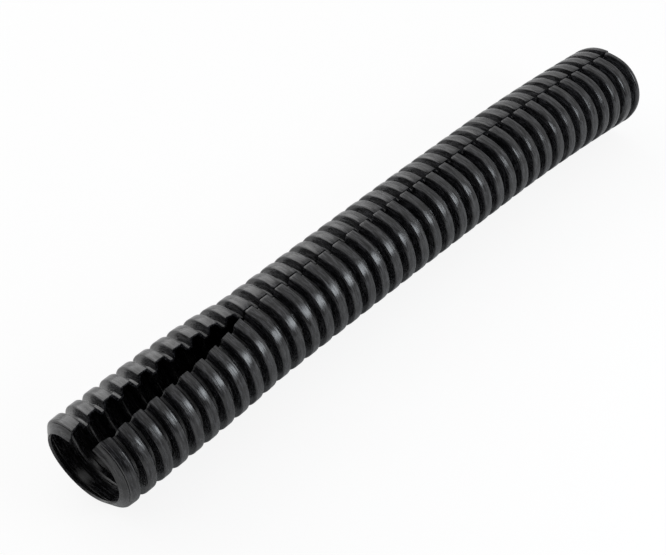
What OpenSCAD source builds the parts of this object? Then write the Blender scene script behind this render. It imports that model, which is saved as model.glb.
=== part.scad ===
// Split loom tube: a cut length of corrugated cable sleeve with a slit along its top.
// It lies on the floor along X. The end at -X is pulled open, so its slit gapes into a mouth,
// and the end at +X turns a little to the side.

/* [Section] */
// Clear diameter inside the waves
bore_d = 12.6; // [8:0.1:24]
// Thickness of the wall, all along the wave
wall = 0.4; // [0.3:0.05:0.6]

/* [Ribs] */
// Distance from one rib to the next
pitch = 3.5; // [3:0.1:5]
// Width of a rib across its two flanks
rib_w = 1.9; // [1.7:0.1:2.5]
// Height of a rib above the groove beside it
rib_h = 1.8; // [0.8:0.1:2.5]
// Radius of a rib's outer corners
rib_corner_r = 0.3; // [0.2:0.05:0.6]

/* [Length] */
// Ribs along the end that is pulled open
open_ribs = 11; // [6:1:18]
// Ribs along the straight middle
straight_ribs = 17; // [8:1:30]
// Ribs along the bent end
bent_ribs = 10; // [5:1:18]
// Turn of the bent end, in degrees
bend = 8.5; // [3:0.5:18]

/* [Slit] */
// Width of the slit along the middle
slit_w = 0.3; // [0.2:0.05:0.6]
// How much wider the slit stands along the bent end
bent_slit_extra = 0.15; // [0.1:0.05:0.5]
// Width of the mouth at the open end, over the crest of the last rib
mouth_w = 6; // [4:0.2:8]
// Where the mouth's edges turn from steep to nearly even, as a share of the open end from the tip
mouth_turn_at = 0.45; // [0.3:0.05:0.7]
// Width of the mouth at that place, as a share of its full width
mouth_turn_share = 0.85; // [0.7:0.05:0.95]

/* [Hidden] */
$fn = 96;
// How far a cutter runs out past the face that it opens
cut_clear = 1;

// The same wave, outside and inside one wall
bore_r = bore_d / 2;
groove_r = bore_r + wall;
crest_r = groove_r + rib_h;
hollow_r = crest_r - wall;
hollow_w = rib_w - 2 * wall;
groove_w = pitch - rib_w;

// Pulling the slit apart keeps the tube's girth, so the radius at the mouth grows by mouth_w / 2 pi.
// The axis of the open end rises at the same slope, and the ribs stay on the floor.
open_l = open_ribs * pitch - groove_w / 2;
open_slope = asin(mouth_w / (2 * PI) / open_l);
mouth_r = crest_r * cos(open_slope) + open_l * sin(open_slope);
mouth_half_angle = asin(mouth_w / 2 / mouth_r);

straight_l = straight_ribs * pitch;

// Each groove of the bent end takes an equal share of the turn
kink = bend / bent_ribs;
bend_r = pitch / (2 * sin(kink / 2));
// From the middle of the last rib to the cut that leaves the next rib's flank as a lip
last_run = pitch - rib_w / 2 + wall;

// Middle of the tube's outline on the floor
end_turn = (bent_ribs - 0.5) * kink;
rib_bend_r = bend_r * cos(kink / 2);
end_x = straight_l + rib_bend_r * sin(end_turn) + last_run * cos(end_turn) + crest_r * sin(end_turn);
end_y = rib_bend_r * cos(end_turn) - bend_r - last_run * sin(end_turn) - crest_r * cos(end_turn);
mid_x = (end_x - open_l) / 2;
mid_y = (end_y + mouth_r) / 2;

// Outline of one rib, rounded at its outer corners: x is the radius, y runs along the tube
module rib_outline(r, w, corner_r) {
    if (corner_r > 0) {
        square([2 * (r - corner_r), w], center = true);
        square([2 * r, w - 2 * corner_r], center = true);
        for (side = [-1, 1])
            translate([r - corner_r, side * (w / 2 - corner_r)]) circle(corner_r);
    } else {
        square([2 * r, w], center = true);
    }
}

// Outline of a run of ribs on one core, which starts and ends a way past the middles of the end ribs
module wave(core_r, rib_r, w, corner_r, ribs, before, after) {
    translate([-core_r, -before])
        square([2 * core_r, before + (ribs - 1) * pitch + after]);
    for (i = [0:ribs - 1])
        translate([0, i * pitch]) rib_outline(rib_r, w, corner_r);
}

// An outline turned about the tube's axis
module turned() {
    reach = 2 * open_l;
    rotate_extrude() intersection() {
        children();
        translate([0, -reach]) square([reach, 2 * reach]);
    }
}

// Places a rib of the bent end, counted from the end of the straight middle
module along_bend(ribs) {
    translate([straight_l, -bend_r, 0])
        rotate([0, 0, -ribs * kink])
            translate([0, rib_bend_r, 0])
                rotate([0, 90, 0]) children();
}

// One face of the wall along the whole tube. The core between two runs belongs to one of them and
// ends inside the other's first rib, which hides the kink.
module wall_face(core_r, rib_r, w, corner_r, past_mouth, past_last) {
    into_next = pitch - w / 4;
    rotate([0, open_slope - 90, 0]) turned() rotate(-open_slope)
        translate([0, pitch / 2]) wave(core_r, rib_r, w, corner_r, open_ribs, 0, past_mouth);
    translate([pitch / 2, 0, 0]) rotate([0, 90, 0]) turned()
        wave(core_r, rib_r, w, corner_r, straight_ribs, into_next, into_next);
    for (i = [1:bent_ribs])
        along_bend(i - 0.5) turned()
            wave(core_r, rib_r, w, corner_r, 1, 0, i < bent_ribs ? into_next : past_last);
}

module outside() {
    wall_face(groove_r, crest_r, rib_w, rib_corner_r, 0, last_run - wall / 2);
    along_bend(bent_ribs - 0.5)
        translate([0, 0, last_run - wall]) cylinder(r = crest_r, h = wall);
}

module inside() {
    wall_face(bore_r, hollow_r, hollow_w, 0, rib_w / 2 + cut_clear, last_run + cut_clear);
}

// The slit: straight over the open end and the middle, then round the bend
module slit() {
    bent_slit_w = slit_w + bent_slit_extra;
    translate([-open_l - cut_clear, -slit_w / 2, 0])
        cube([open_l + cut_clear + straight_l, slit_w, 2 * crest_r]);
    translate([straight_l, -bend_r, 0])
        rotate([0, 0, 90 - bend - kink])
            rotate_extrude(angle = bend + 2 * kink)
                translate([bend_r - bent_slit_w / 2, 0]) square([bent_slit_w, 2 * crest_r]);
}

// Everything on the inner side of one edge of the mouth. The edge leans halfway between upright, as at
// the mouth's tip, and the radius that it follows at the end of the tube.
module mouth_side(side) {
    lean = mouth_half_angle / 2;
    tip_y = -crest_r * sin(lean);
    end_y = mouth_r * sin(lean);
    turn_l = mouth_turn_at * open_l;
    turn_y = tip_y + (end_y - tip_y) * mouth_turn_share;
    past_l = open_l + cut_clear;
    past_y = turn_y + (end_y - turn_y) * (past_l - turn_l) / (open_l - turn_l);
    rotate([-side * lean, 0, 0])
        linear_extrude(2 * mouth_r)
            polygon([
                [0, side * tip_y],
                [-turn_l, side * turn_y],
                [-past_l, side * past_y],
                [-past_l, -side * mouth_r],
                [0, -side * mouth_r]
            ]);
}

module mouth() {
    rotate([0, open_slope, 0]) intersection() {
        mouth_side(-1);
        mouth_side(1);
    }
}

module split_loom_tube() {
    color("#2b2b2d") translate([-mid_x, -mid_y, crest_r]) difference() {
        outside();
        inside();
        slit();
        mouth();
    }
}

split_loom_tube();
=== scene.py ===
from math import atan2, cos, pi, radians, sin, tan

import bpy
import numpy as np
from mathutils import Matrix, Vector


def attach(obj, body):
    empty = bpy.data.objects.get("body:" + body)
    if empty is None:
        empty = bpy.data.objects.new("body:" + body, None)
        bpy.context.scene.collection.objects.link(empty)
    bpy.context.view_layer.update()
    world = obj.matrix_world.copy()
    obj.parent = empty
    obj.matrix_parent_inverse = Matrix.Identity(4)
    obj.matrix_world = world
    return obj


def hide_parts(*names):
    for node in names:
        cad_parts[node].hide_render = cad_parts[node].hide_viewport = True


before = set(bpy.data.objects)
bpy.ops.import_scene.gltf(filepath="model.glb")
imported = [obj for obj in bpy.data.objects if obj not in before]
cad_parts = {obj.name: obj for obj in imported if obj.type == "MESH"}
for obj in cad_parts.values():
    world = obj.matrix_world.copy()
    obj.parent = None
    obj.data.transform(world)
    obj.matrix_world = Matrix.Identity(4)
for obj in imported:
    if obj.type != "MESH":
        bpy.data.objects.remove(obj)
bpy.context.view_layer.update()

# A cut length of split loom tube: one wall of corrugated black polyethylene, slit along its top.
# The wall is laid out in millimetres along the unopened tube (x along it from groove 0, phi around it
# from the bottom, + to the -Y side, r from its axis) and then carried to where the tube lies.
MM = 0.001

# The wave of the wall
PITCH = 3.5
RIBS = 38
CREST_R = 8.5
GROOVE_R = 6.6
MIDDLE_R = (CREST_R + GROOVE_R) / 2
WALL = 0.4
CREST_W = 1.8
NEAR_LEAN = radians(9)
FAR_LEAN = radians(26)
CREST_CORNER_R = 0.3
ROOT_R = 0.05
INSIDE_CORNER_R = 0.03

# The cut edges
CUT_EDGE_BEVEL = 0.03
MOUTH_EDGE_BEVEL = 0.05

# The cut end at the mouth: the first rib's near flank is drawn forward into a cone with a fine seam.
# Each step up the cone is a share of its height and a share of the seam's depth.
RIM_X = -0.4
RIM_R = 6.8
RIM_REACH = 2.8
SEAM_DEPTH = 0.2
CONE_STEPS = ((0, 0), (0.3, 0), (0.42, 0.5), (0.54, 0), (0.78, 0), (0.88, 1))

# The other cut end: what is left of the next rib's crest
LIP_W = 0.9
LIP_DROP = 0.12

# How finely the wall is meshed
STEPS_AROUND = 78
CREST_CORNER_STEPS = 4
ROOT_STEPS = 3
SECTION_STEPS = 160
AXIS_STEPS = 1200
BEVEL_FROM = 0.9982
SHARP_OVER = radians(50)

# Where groove 0, just before the first rib, lies in the part's frame
GROOVE_0_X = -68.027
AXIS_Y = 0.862

# The axis: a slight bow all along, and the last ribs turned to the side
STRAIGHT_AT = 14 * PITCH
BOW_PER_MM = 0.001 / PITCH
TAIL_FROM = 28 * PITCH
TAIL_TURN = 0.0933
TAIL_L = 10.4 * PITCH

# The mouth: it opens fast at its tip, then nearly evenly, a little more on the -Y side, less at the rim
MOUTH_TIP = 10.3 * PITCH
MOUTH_OPENING = 0.0637
MOUTH_GROWTH = 4.4
MOUTH_SKEW = 0.15
RIM_SKEW_LOSS = 0.2
RIM_OPENING_LOSS = 0.25
MOUTH_ASIDE = 0.16
RIM_ASIDE = 0.1

# The slit past the mouth: its gap, how much of it closes, and between which ribs
SLIT_GAP = 0.26
TOUCHING_LOSS = 0.23
TOUCHING_STARTS = (16, 18)
TOUCHING_ENDS = (20, 22)
FAR_GAP_LOSS = 0.04
FAR_GAP_RIBS = (21, 24)

# The cut wanders from the top to the -Y side near the open end, as an angle
SLIT_DRIFT = 0.07
SLIT_DRIFT_FROM, SLIT_DRIFT_TO = 1.5, 7.0

# The tube is wrung a little along its length, in degrees
MOUTH_WRING = -2.0
RIM_WRING = -0.8
FAR_WRING = 2.5
FAR_WRING_RIBS = (12, 38)

# The slit's two edges have slid along each other, one way at each end
MOUTH_SLIDE = 1.7
MOUTH_SLIDE_RIBS = (2, 8.3)
FAR_SLIDE = 0.75
FAR_SLIDE_RIBS = (16, 22)
FAR_SLIDE_LOSS = 0.8
FAR_SLIDE_LOSS_RIBS = (37, 38.3)

# Ribs that don't stand square to the axis: slopes along the tube, across it and up
MOUTH_SLANT = radians(0.8)
RIM_SLANT_ACROSS, RIM_SLANT_UP = 0.047, 0.016
FAR_SLANT_ACROSS, FAR_SLANT_UP = 0.176, 0.094
FAR_SLANT_RIBS = (30, 38.5)
FAR_CROWDING = 1.64

# Every rib leans from one side to the other, and is dragged towards the open end beside the slit, over
# an angle. Towards the open end each side loses a share of both.
SIDE_LEAN = 0.22
SLIT_DRAG_LEFT, SLIT_DRAG_RIGHT = 0.3, 0.5
SLIT_DRAG_REACH = 0.42
MOUTH_LOSS_LEFT, MOUTH_LOSS_RIGHT = 1.0, 0.5

# How far handling has pushed ribs along the tube: spread past the mouth, crowded at the far end.
# Each pair is a rib and a distance.
RIB_SWAY = (
    (0, 0.0), (5, -0.05), (8, 0.1), (14, 0.0), (20, 0.1), (26, 0.08),
    (29, 0.25), (32, 0.42), (35, 0.1), (37.5, -0.5), (39, -0.8),
)

# The marks in the plastic, per millimetre around, along and out
DRAWN_LINES_PER_MM = (0.22, 1.9, 1.9)
RUB_MARKS_PER_MM = (0.55, 2.6, 2.6)
CLOUDS_PER_MM = 0.16

# The drawn lines: the noise values that they run between, and their depth, gloss and shine
LINE_LOW, LINE_HIGH = 0.3, 0.7
LINE_DEPTH = 0.08 * MM
LINE_RELIEF = 0.8
GLOSSY, HALF_MATT = 0.14, 0.3
SHINE_LOW, SHINE_HIGH = 0.3, 0.7
POLYETHYLENE_IOR = 1.51

# The rub marks: the noise values that they run between, how broken up they are and how much they dull
RUB_FROM, RUB_TO = 0.47, 0.66
RUB_BREAKUP = 0.65
RUB_DULLING = 0.1

# The white room: how bright it is against white paper, darker towards the camera, brighter to the left
ROOM_LEVEL = 0.85
FRONT_LEVEL = 0.1
FRONT_WAY = (-0.66, -0.66, 0.36)
FRONT_FROM, FRONT_TO = 0.25, 0.75
LEFT_GAIN = 0.35
LEFT_WAY = (-0.2, 0.8, 0.57)
LEFT_FROM, LEFT_TO = 0.45, 0.85
FLOOR_HALF = 1.5
FLOOR_GLOW = 0.88
WATTS_PER_M2_AT_WHITE = 4

# The photograph's camera, fitted to its outline and grooves
PHOTO_W = 666
FOCAL_PIXELS = 1377.2
SENSOR_W = 36
AIM_ALONG, AIM_ASIDE = 56.531, -0.088
LOOK_AZIMUTH, LOOK_DOWN = 44.458, 48.226
CAMERA_DISTANCE = 245.47
CLIP_NEAR, CLIP_FAR = 0.01, 10


def steps(x, start, end):
    """0 before start, 1 past end, a straight ramp between them."""
    return np.clip((x - start) / (end - start), 0, 1)


def over_ribs(x, ribs):
    """The same ramp between two places counted in ribs."""
    return steps(x, ribs[0] * PITCH, ribs[1] * PITCH)


# The wave of the wall
def arc(centre, radius, turn_from, turn_to, count, hollow=False):
    """A rounded corner as points (x, r), their outward normals and the points one wall further in.

    Turns are angles of the outward normal. Where the corner is tighter than the wall, the inside
    keeps a corner of its own.
    """
    reach = -radius if hollow else radius
    reach_in = reach - WALL if hollow else max(reach - WALL, INSIDE_CORNER_R)
    half_turn, middle = (turn_to - turn_from) / 2, (turn_to + turn_from) / 2
    back = (reach - WALL - reach_in) / cos(half_turn)
    points = []
    for turn in np.linspace(turn_from, turn_to, count):
        nx, nr = cos(turn), sin(turn)
        x_in = centre[0] + back * cos(middle) + reach_in * nx
        r_in = centre[1] + back * sin(middle) + reach_in * nr
        points.append((centre[0] + reach * nx, centre[1] + reach * nr, nx, nr, x_in, r_in))
    return points


def flat(x, r, nx, nr):
    """A point between two corners, in the same form."""
    return (x, r, nx, nr, x - WALL * nx, r - WALL * nr)


def crest_corner(edge_x, lean):
    """The corner between a crest that starts at edge_x and the flank before it."""
    centre = (edge_x + CREST_CORNER_R / tan(pi / 4 + lean / 2), CREST_R - CREST_CORNER_R)
    return arc(centre, CREST_CORNER_R, pi - lean, pi / 2, CREST_CORNER_STEPS)


def near_flank(middle, lean=NEAR_LEAN):
    """The flank that faces the open end, from the groove up to the crest."""
    crest_x = middle - CREST_W / 2
    foot_x = crest_x - (CREST_R - GROOVE_R - ROOT_R) * tan(lean)
    centre = (foot_x - ROOT_R / cos(lean), GROOVE_R + ROOT_R)
    foot = arc(centre, ROOT_R, pi / 2, pi - lean, ROOT_STEPS, hollow=True)
    return foot + crest_corner(crest_x, lean)


def far_flank(middle):
    """The other flank, which leans more, from the crest down to the groove."""
    return [(2 * middle - x, r, -nx, nr, 2 * middle - x_in, r_in)
            for x, r, nx, nr, x_in, r_in in reversed(near_flank(middle, FAR_LEAN))]


def cut_cone():
    """The near flank of the first rib, from the rim that was cut up to the crest."""
    crest_x = PITCH / 2 - CREST_W / 2
    run, rise = crest_x - RIM_X, CREST_R - RIM_R
    lean = atan2(run, rise)
    cone = []
    for share, sunk in CONE_STEPS:
        r = RIM_R + share * rise - sunk * SEAM_DEPTH
        cone.append(flat(RIM_X + share * run, r, -cos(lean), sin(lean)))
    return cone + crest_corner(crest_x, lean)


def wall_wave():
    """The whole wave, from the rim to the lip: (x, r) outside, its outward normals, (x, r) inside."""
    points = []
    for rib in range(RIBS):
        middle = (rib + 0.5) * PITCH
        points += near_flank(middle) if rib else cut_cone()
        points += far_flank(middle)
        points.append(flat(middle + PITCH / 2, GROOVE_R, 0, 1))
    middle = (RIBS + 0.5) * PITCH
    points += near_flank(middle)
    points.append(flat(middle - CREST_W / 2 + LIP_W, CREST_R - LIP_DROP, 0, 1))
    points = np.array(points)
    return points[:, :2], points[:, 2:4], points[:, 4:]


# How the tube lies
def axis_line(x):
    """Place and heading of the tube's axis, x millimetres from groove 0."""
    fine = np.linspace(-2 * PITCH, (RIBS + 2) * PITCH, AXIS_STEPS)
    tail = np.maximum(0, fine - TAIL_FROM) / TAIL_L
    heading = -BOW_PER_MM * (fine - STRAIGHT_AT) - TAIL_TURN * tail
    run = np.diff(fine, prepend=fine[0])
    along = np.cumsum(np.cos(heading) * run)
    aside = np.cumsum(np.sin(heading) * run)
    along += GROOVE_0_X - np.interp(0, fine, along)
    aside += AXIS_Y - np.interp(STRAIGHT_AT, fine, aside)
    return np.interp(x, fine, along), np.interp(x, fine, aside), np.interp(x, fine, heading)


def slit_gap(x):
    """Gap between the slit's edges, apart from the mouth."""
    touching = over_ribs(x, TOUCHING_STARTS) * (1 - over_ribs(x, TOUCHING_ENDS))
    return SLIT_GAP - TOUCHING_LOSS * touching - FAR_GAP_LOSS * over_ribs(x, FAR_GAP_RIBS)


def slit_drift(x):
    """How far the cut has wandered from the top, as an angle."""
    return SLIT_DRIFT * (1 - steps(x, SLIT_DRIFT_FROM, SLIT_DRIFT_TO))


def rib_sway(x):
    """How far a rib has been pushed along the tube."""
    ribs, sway = zip(*RIB_SWAY)
    return np.interp(x / PITCH, ribs, sway)


def opened_section(x, phi, r, rim):
    """Across and up of a point as the slit is pulled apart: the bottom unbends most, the edges least."""
    opened = 1 - (1 - np.clip((MOUTH_TIP - x) / (MOUTH_TIP - PITCH / 2), 0, 1)) ** MOUTH_GROWTH
    skew = (MOUTH_SKEW - RIM_SKEW_LOSS * rim) * np.sign(phi)
    unbent = MOUTH_OPENING * opened * (1 + skew - RIM_OPENING_LOSS * rim)
    girth = np.linspace(0, 1, SECTION_STEPS + 1)
    angle = np.abs(phi)[..., None] * girth
    turn = angle - unbent[..., None] * (angle + np.sin(angle))
    mean = (turn[..., 1:] + turn[..., :-1]) / 2
    run = np.abs(phi)[..., None] * MIDDLE_R * np.diff(girth)
    tilt = np.sign(phi) * turn[..., -1]
    across = np.sign(phi) * (np.cos(mean) * run).sum(-1) + (r - MIDDLE_R) * np.sin(tilt)
    up = (np.sin(mean) * run).sum(-1) - (r - MIDDLE_R) * np.cos(tilt) + CREST_R - MIDDLE_R
    return across, up


def wrung(x, across, up, near, rim):
    """Across and up of a point after its section has turned about the axis."""
    wring = MOUTH_WRING * near + RIM_WRING * rim + FAR_WRING * over_ribs(x, FAR_WRING_RIBS)
    c, s = np.cos(np.radians(wring)), np.sin(np.radians(wring))
    high = up - CREST_R
    return across * c - high * s, across * s + high * c + CREST_R


def slid_along(x, phi, across, up, near, rim):
    """How far a point has moved along the tube."""
    far_slide = FAR_SLIDE * over_ribs(x, FAR_SLIDE_RIBS)
    far_slide = far_slide * (1 - FAR_SLIDE_LOSS * over_ribs(x, FAR_SLIDE_LOSS_RIBS))
    slide = MOUTH_SLIDE * (1 - over_ribs(x, MOUTH_SLIDE_RIBS)) - far_slide
    shift = slide * phi / (2 * pi) + near * MOUTH_SLANT * across + rib_sway(x)

    left = phi < 0
    held = 1 - near * np.where(left, MOUTH_LOSS_LEFT, MOUTH_LOSS_RIGHT)
    beside_slit = np.exp(-((pi - np.abs(phi)) / SLIT_DRAG_REACH) ** 2)
    drag = np.where(left, SLIT_DRAG_LEFT, SLIT_DRAG_RIGHT) * beside_slit
    shift = shift + held * (SIDE_LEAN * np.sin(phi) - drag)

    high = up - CREST_R
    shift = shift + rim * (RIM_SLANT_ACROSS * across + RIM_SLANT_UP * high)
    slant = FAR_SLANT_ACROSS * across + FAR_SLANT_UP * high - FAR_CROWDING
    return shift + over_ribs(x, FAR_SLANT_RIBS) * slant


def lay(x, phi, r):
    """Carries points of the unopened tube to where they lie."""
    near = np.clip((MOUTH_TIP - x) / MOUTH_TIP, 0, 1)
    rim = 1 - steps(x, RIM_X, RIM_REACH)
    across, up = opened_section(x, phi, r, rim)
    across, up = wrung(x, across, up, near, rim)
    shift = slid_along(x, phi, across, up, near, rim)
    ax, ay, heading = axis_line(x)
    aside = -across - MOUTH_ASIDE * near ** 2 - RIM_ASIDE * rim
    return np.stack([
        ax + shift * np.cos(heading) - aside * np.sin(heading),
        ay + shift * np.sin(heading) + aside * np.cos(heading),
        up,
    ], -1)


# The wall as one closed mesh
def quads(a, b, c, d):
    """Faces with four corners, from four arrays of corners."""
    return np.stack([a, b, c, d], -1).reshape(-1, 4)


def make_tube():
    wave, normal, wave_in = wall_wave()
    share = np.concatenate([[-1], np.linspace(-BEVEL_FROM, BEVEL_FROM, STEPS_AROUND + 1), [1]])
    rows, cols = len(wave), len(share)
    bevel = np.zeros((rows, cols))
    bevel[:, [0, -1]] = (CUT_EDGE_BEVEL + MOUTH_EDGE_BEVEL * (wave[:, 0] < MOUTH_TIP))[:, None]

    def face(profile, bevel):
        x, r = [profile[:, i, None] - bevel * normal[:, i, None] for i in (0, 1)]
        phi = (pi - slit_gap(x) / (2 * CREST_R)) * share - slit_drift(x) * np.abs(share)
        return np.stack([phi * CREST_R, x, r], -1), lay(x, phi, r)

    marks_out, outside = face(wave, bevel)
    marks_in, inside = face(wave_in, 0 * bevel)
    verts = np.concatenate([outside.reshape(-1, 3), inside.reshape(-1, 3)]) * MM
    index = np.arange(rows * cols).reshape(rows, cols)
    inner = index + rows * cols
    faces = np.concatenate([
        quads(index[:-1, :-1], index[:-1, 1:], index[1:, 1:], index[1:, :-1]),
        quads(inner[:-1, :-1], inner[1:, :-1], inner[1:, 1:], inner[:-1, 1:]),
        quads(index[:-1, 0], index[1:, 0], inner[1:, 0], inner[:-1, 0]),
        quads(index[:-1, -1], inner[:-1, -1], inner[1:, -1], index[1:, -1]),
        quads(index[0, :-1], inner[0, :-1], inner[0, 1:], index[0, 1:]),
        quads(index[-1, :-1], index[-1, 1:], inner[-1, 1:], inner[-1, :-1]),
    ])
    mesh = bpy.data.meshes.new("loom_wall")
    mesh.from_pydata(verts.tolist(), [], faces.tolist())
    mesh.validate()
    mesh.shade_smooth()
    mesh.set_sharp_from_angle(angle=SHARP_OVER)

    # millimetres around, along and out, for the marks that follow the wall
    marks = np.concatenate([marks_out.reshape(-1, 3), marks_in.reshape(-1, 3)])
    laid = mesh.attributes.new("laid", "FLOAT_VECTOR", "POINT")
    laid.data.foreach_set("vector", marks.astype(np.float32).ravel())

    tube = bpy.data.objects.new("loom_tube", mesh)
    bpy.context.scene.collection.objects.link(tube)
    return tube


# Finishes
def linear(hex_colour):
    """An sRGB hex colour as linear RGBA."""
    parts = [int(hex_colour[i:i + 2], 16) / 255 for i in (1, 3, 5)]
    return tuple(v / 12.92 if v <= 0.04045 else ((v + 0.055) / 1.055) ** 2.4 for v in parts) + (1.0,)


def add(tree, kind, inputs=None, **settings):
    """Adds a node with its settings, and values or links for its inputs."""
    made = tree.nodes.new(kind)
    for name, value in settings.items():
        setattr(made, name, value)
    for name, value in (inputs or {}).items():
        if isinstance(value, bpy.types.NodeSocket):
            tree.links.new(value, made.inputs[name])
        else:
            made.inputs[name].default_value = value
    return made


def remap(tree, value, low, high, at_low, at_high):
    """A value between low and high, carried over to another range and held at its ends."""
    inputs = {"Value": value, "From Min": low, "From Max": high, "To Min": at_low, "To Max": at_high}
    return add(tree, "ShaderNodeMapRange", inputs).outputs["Result"]


def blend(tree, share, first, second):
    """A colour between two others. The Mix node's colour sockets are 6 and 7, and its result is 2."""
    return add(tree, "ShaderNodeMix", {0: share, 6: first, 7: second}, data_type="RGBA").outputs[2]


def marks_along(tree, laid, per_mm, **noise):
    """Noise stretched along the ribs, from the number of marks per millimetre each way."""
    stretched = add(tree, "ShaderNodeMapping", {"Vector": laid, "Scale": per_mm}).outputs[0]
    return add(tree, "ShaderNodeTexNoise", {"Vector": stretched, "Scale": 1.0, **noise}).outputs[0]


def new_tree(material):
    """The empty node tree of a material or world."""
    material.use_nodes = True
    material.node_tree.nodes.clear()
    return material.node_tree


def blow_formed_black_polyethylene():
    """Black polyethylene blown into running mould blocks: half gloss, so that it shows the room.

    The blowing draws faint lines round each rib, which break the highlights into streaks, and
    handling leaves grey rub marks, which the eye sees as a worn black.
    """
    material = bpy.data.materials.new("blow_formed_black_polyethylene")
    tree = new_tree(material)
    laid = add(tree, "ShaderNodeAttribute", attribute_name="laid").outputs["Vector"]

    # drawn lines about 0.5 mm apart, as in the photograph, that follow each rib for some millimetres
    lines = marks_along(tree, laid, DRAWN_LINES_PER_MM, Detail=4.0)
    relief = {"Strength": LINE_RELIEF, "Distance": LINE_DEPTH, "Height": lines}
    drawn = add(tree, "ShaderNodeBump", relief).outputs[0]

    # grey rub marks where ribs have slid past things, shorter than the lines and broken up
    rubbed = marks_along(tree, laid, RUB_MARKS_PER_MM, Detail=4.0, Roughness=RUB_BREAKUP)
    rub = remap(tree, rubbed, RUB_FROM, RUB_TO, 0.0, 1.0)

    # slow changes of tone along the tube
    slow = {"Vector": laid, "Scale": CLOUDS_PER_MM, "Detail": 2.0}
    cloud = add(tree, "ShaderNodeTexNoise", slow).outputs[0]
    black = blend(tree, cloud, linear("#08080a"), linear("#111113"))
    tone = blend(tree, rub, black, linear("#363639"))

    # the lines run from glossy to half matt, and rubbing dulls them further
    line_rough = remap(tree, lines, LINE_LOW, LINE_HIGH, GLOSSY, HALF_MATT)
    dulled = {0: rub, 1: RUB_DULLING, 2: line_rough}
    rough = add(tree, "ShaderNodeMath", dulled, operation="MULTIPLY_ADD").outputs[0]
    shine = remap(tree, lines, LINE_LOW, LINE_HIGH, SHINE_LOW, SHINE_HIGH)
    body = add(tree, "ShaderNodeBsdfPrincipled", {
        "Base Color": tone,
        "Roughness": rough,
        "IOR": POLYETHYLENE_IOR,
        "Specular IOR Level": shine,
        "Normal": drawn,
    })
    add(tree, "ShaderNodeOutputMaterial", {"Surface": body.outputs[0]})
    return material


def white_sweep():
    """Matt white paper: keeps the tube's shadow, faintly, and shows nearly white to the camera."""
    material = bpy.data.materials.new("matt_white_paper_sweep")
    tree = new_tree(material)
    camera_ray = add(tree, "ShaderNodeLightPath").outputs["Is Camera Ray"]
    paper = add(tree, "ShaderNodeBsdfDiffuse", {"Color": linear("#f4f4f4")}).outputs[0]
    glow = add(tree, "ShaderNodeEmission", {"Color": linear("#ffffff"), "Strength": 1.0}).outputs[0]
    seen = add(tree, "ShaderNodeMath", {0: camera_ray, 1: FLOOR_GLOW}, operation="MULTIPLY").outputs[0]
    both = add(tree, "ShaderNodeMixShader", {0: seen, 1: paper, 2: glow}).outputs[0]
    add(tree, "ShaderNodeOutputMaterial", {"Surface": both})
    return material


# Stage, light and camera
def make_floor():
    half = FLOOR_HALF
    corners = [(-half, -half, 0), (half, -half, 0), (half, half, 0), (-half, half, 0)]
    mesh = bpy.data.meshes.new("paper_floor")
    mesh.from_pydata(corners, [], [(0, 1, 2, 3)])
    floor = bpy.data.objects.new("paper_floor", mesh)
    floor.data.materials.append(white_sweep())
    bpy.context.scene.collection.objects.link(floor)


def heading_to(azimuth, elevation):
    """Unit vector at an azimuth from +X towards +Y and an elevation above the floor, in degrees."""
    a, e = radians(azimuth), radians(elevation)
    return Vector((cos(a) * cos(e), sin(a) * cos(e), sin(e)))


def soft_box(name, place, width, height, brightness, tint="#ffffff"):
    """A soft box that faces the tube, in metres. Brightness is against white paper at 1."""
    lamp = bpy.data.lights.new(name, "AREA")
    lamp.shape = "RECTANGLE"
    lamp.size, lamp.size_y = width, height
    lamp.energy = brightness * WATTS_PER_M2_AT_WHITE * width * height
    lamp.color = linear(tint)[:3]
    box = bpy.data.objects.new(name, lamp)
    box.location = place
    from_tube = Vector(place) - Vector((0, 0, CREST_R * MM))
    box.rotation_euler = from_tube.to_track_quat("Z", "Y").to_euler()
    bpy.context.scene.collection.objects.link(box)


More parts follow.
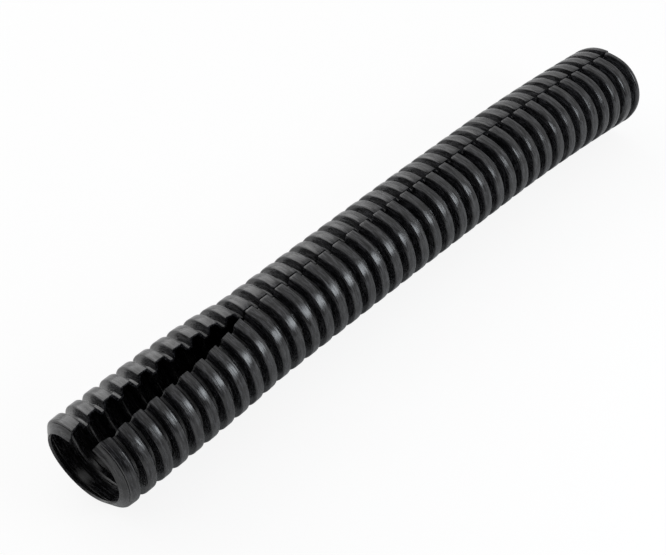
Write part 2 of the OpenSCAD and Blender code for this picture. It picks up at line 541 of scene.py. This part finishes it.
def make_light():
    world = bpy.data.worlds.new("white_room")
    bpy.context.scene.world = world
    tree = new_tree(world)
    path = add(tree, "ShaderNodeLightPath").outputs
    seen_rays = {0: path["Is Camera Ray"], 1: path["Is Transmission Ray"]}
    seen = add(tree, "ShaderNodeMath", seen_rays, operation="MAXIMUM").outputs[0]
    way = add(tree, "ShaderNodeTexCoord").outputs["Generated"]

    def towards(direction):
        dot = add(tree, "ShaderNodeVectorMath", {0: way, 1: direction}, operation="DOT_PRODUCT")
        return dot.outputs["Value"]

    front = remap(tree, towards(FRONT_WAY), FRONT_FROM, FRONT_TO, ROOM_LEVEL, FRONT_LEVEL)
    left = remap(tree, towards(LEFT_WAY), LEFT_FROM, LEFT_TO, 0.0, LEFT_GAIN)
    room = add(tree, "ShaderNodeMath", {0: front, 1: left}, operation="ADD").outputs[0]
    level = remap(tree, seen, 0.0, 1.0, room, 1.0)
    white = {"Color": linear("#ffffff"), "Strength": level}
    background = add(tree, "ShaderNodeBackground", white).outputs[0]
    add(tree, "ShaderNodeOutputWorld", {"Surface": background})
    soft_box("soft_box_left", place=(-0.0525, 0.37, 0.17), width=0.575, height=0.34, brightness=1.15)
    soft_box("soft_box_side", place=(0.07, -0.17, 0.115), width=0.08, height=0.085, brightness=6.3,
             tint="#f2f9ff")


def make_camera():
    target = Vector((GROOVE_0_X + AIM_ALONG, AXIS_Y + AIM_ASIDE, CREST_R)) * MM
    away = heading_to(LOOK_AZIMUTH + 180, LOOK_DOWN)
    camera = bpy.data.cameras.new("camera")
    camera.sensor_width = SENSOR_W
    camera.lens = FOCAL_PIXELS * SENSOR_W / PHOTO_W
    camera.clip_start, camera.clip_end = CLIP_NEAR, CLIP_FAR
    holder = bpy.data.objects.new("camera", camera)
    holder.location = target + away * CAMERA_DISTANCE * MM
    holder.rotation_euler = away.to_track_quat("Z", "Y").to_euler()
    bpy.context.scene.collection.objects.link(holder)
    bpy.context.scene.camera = holder


bpy.context.scene.view_settings.view_transform = "Standard"
make_camera()
make_light()
make_floor()
tube = make_tube()
tube.data.materials.append(blow_formed_black_polyethylene())
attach(tube, "root")
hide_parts("split_loom_tube")
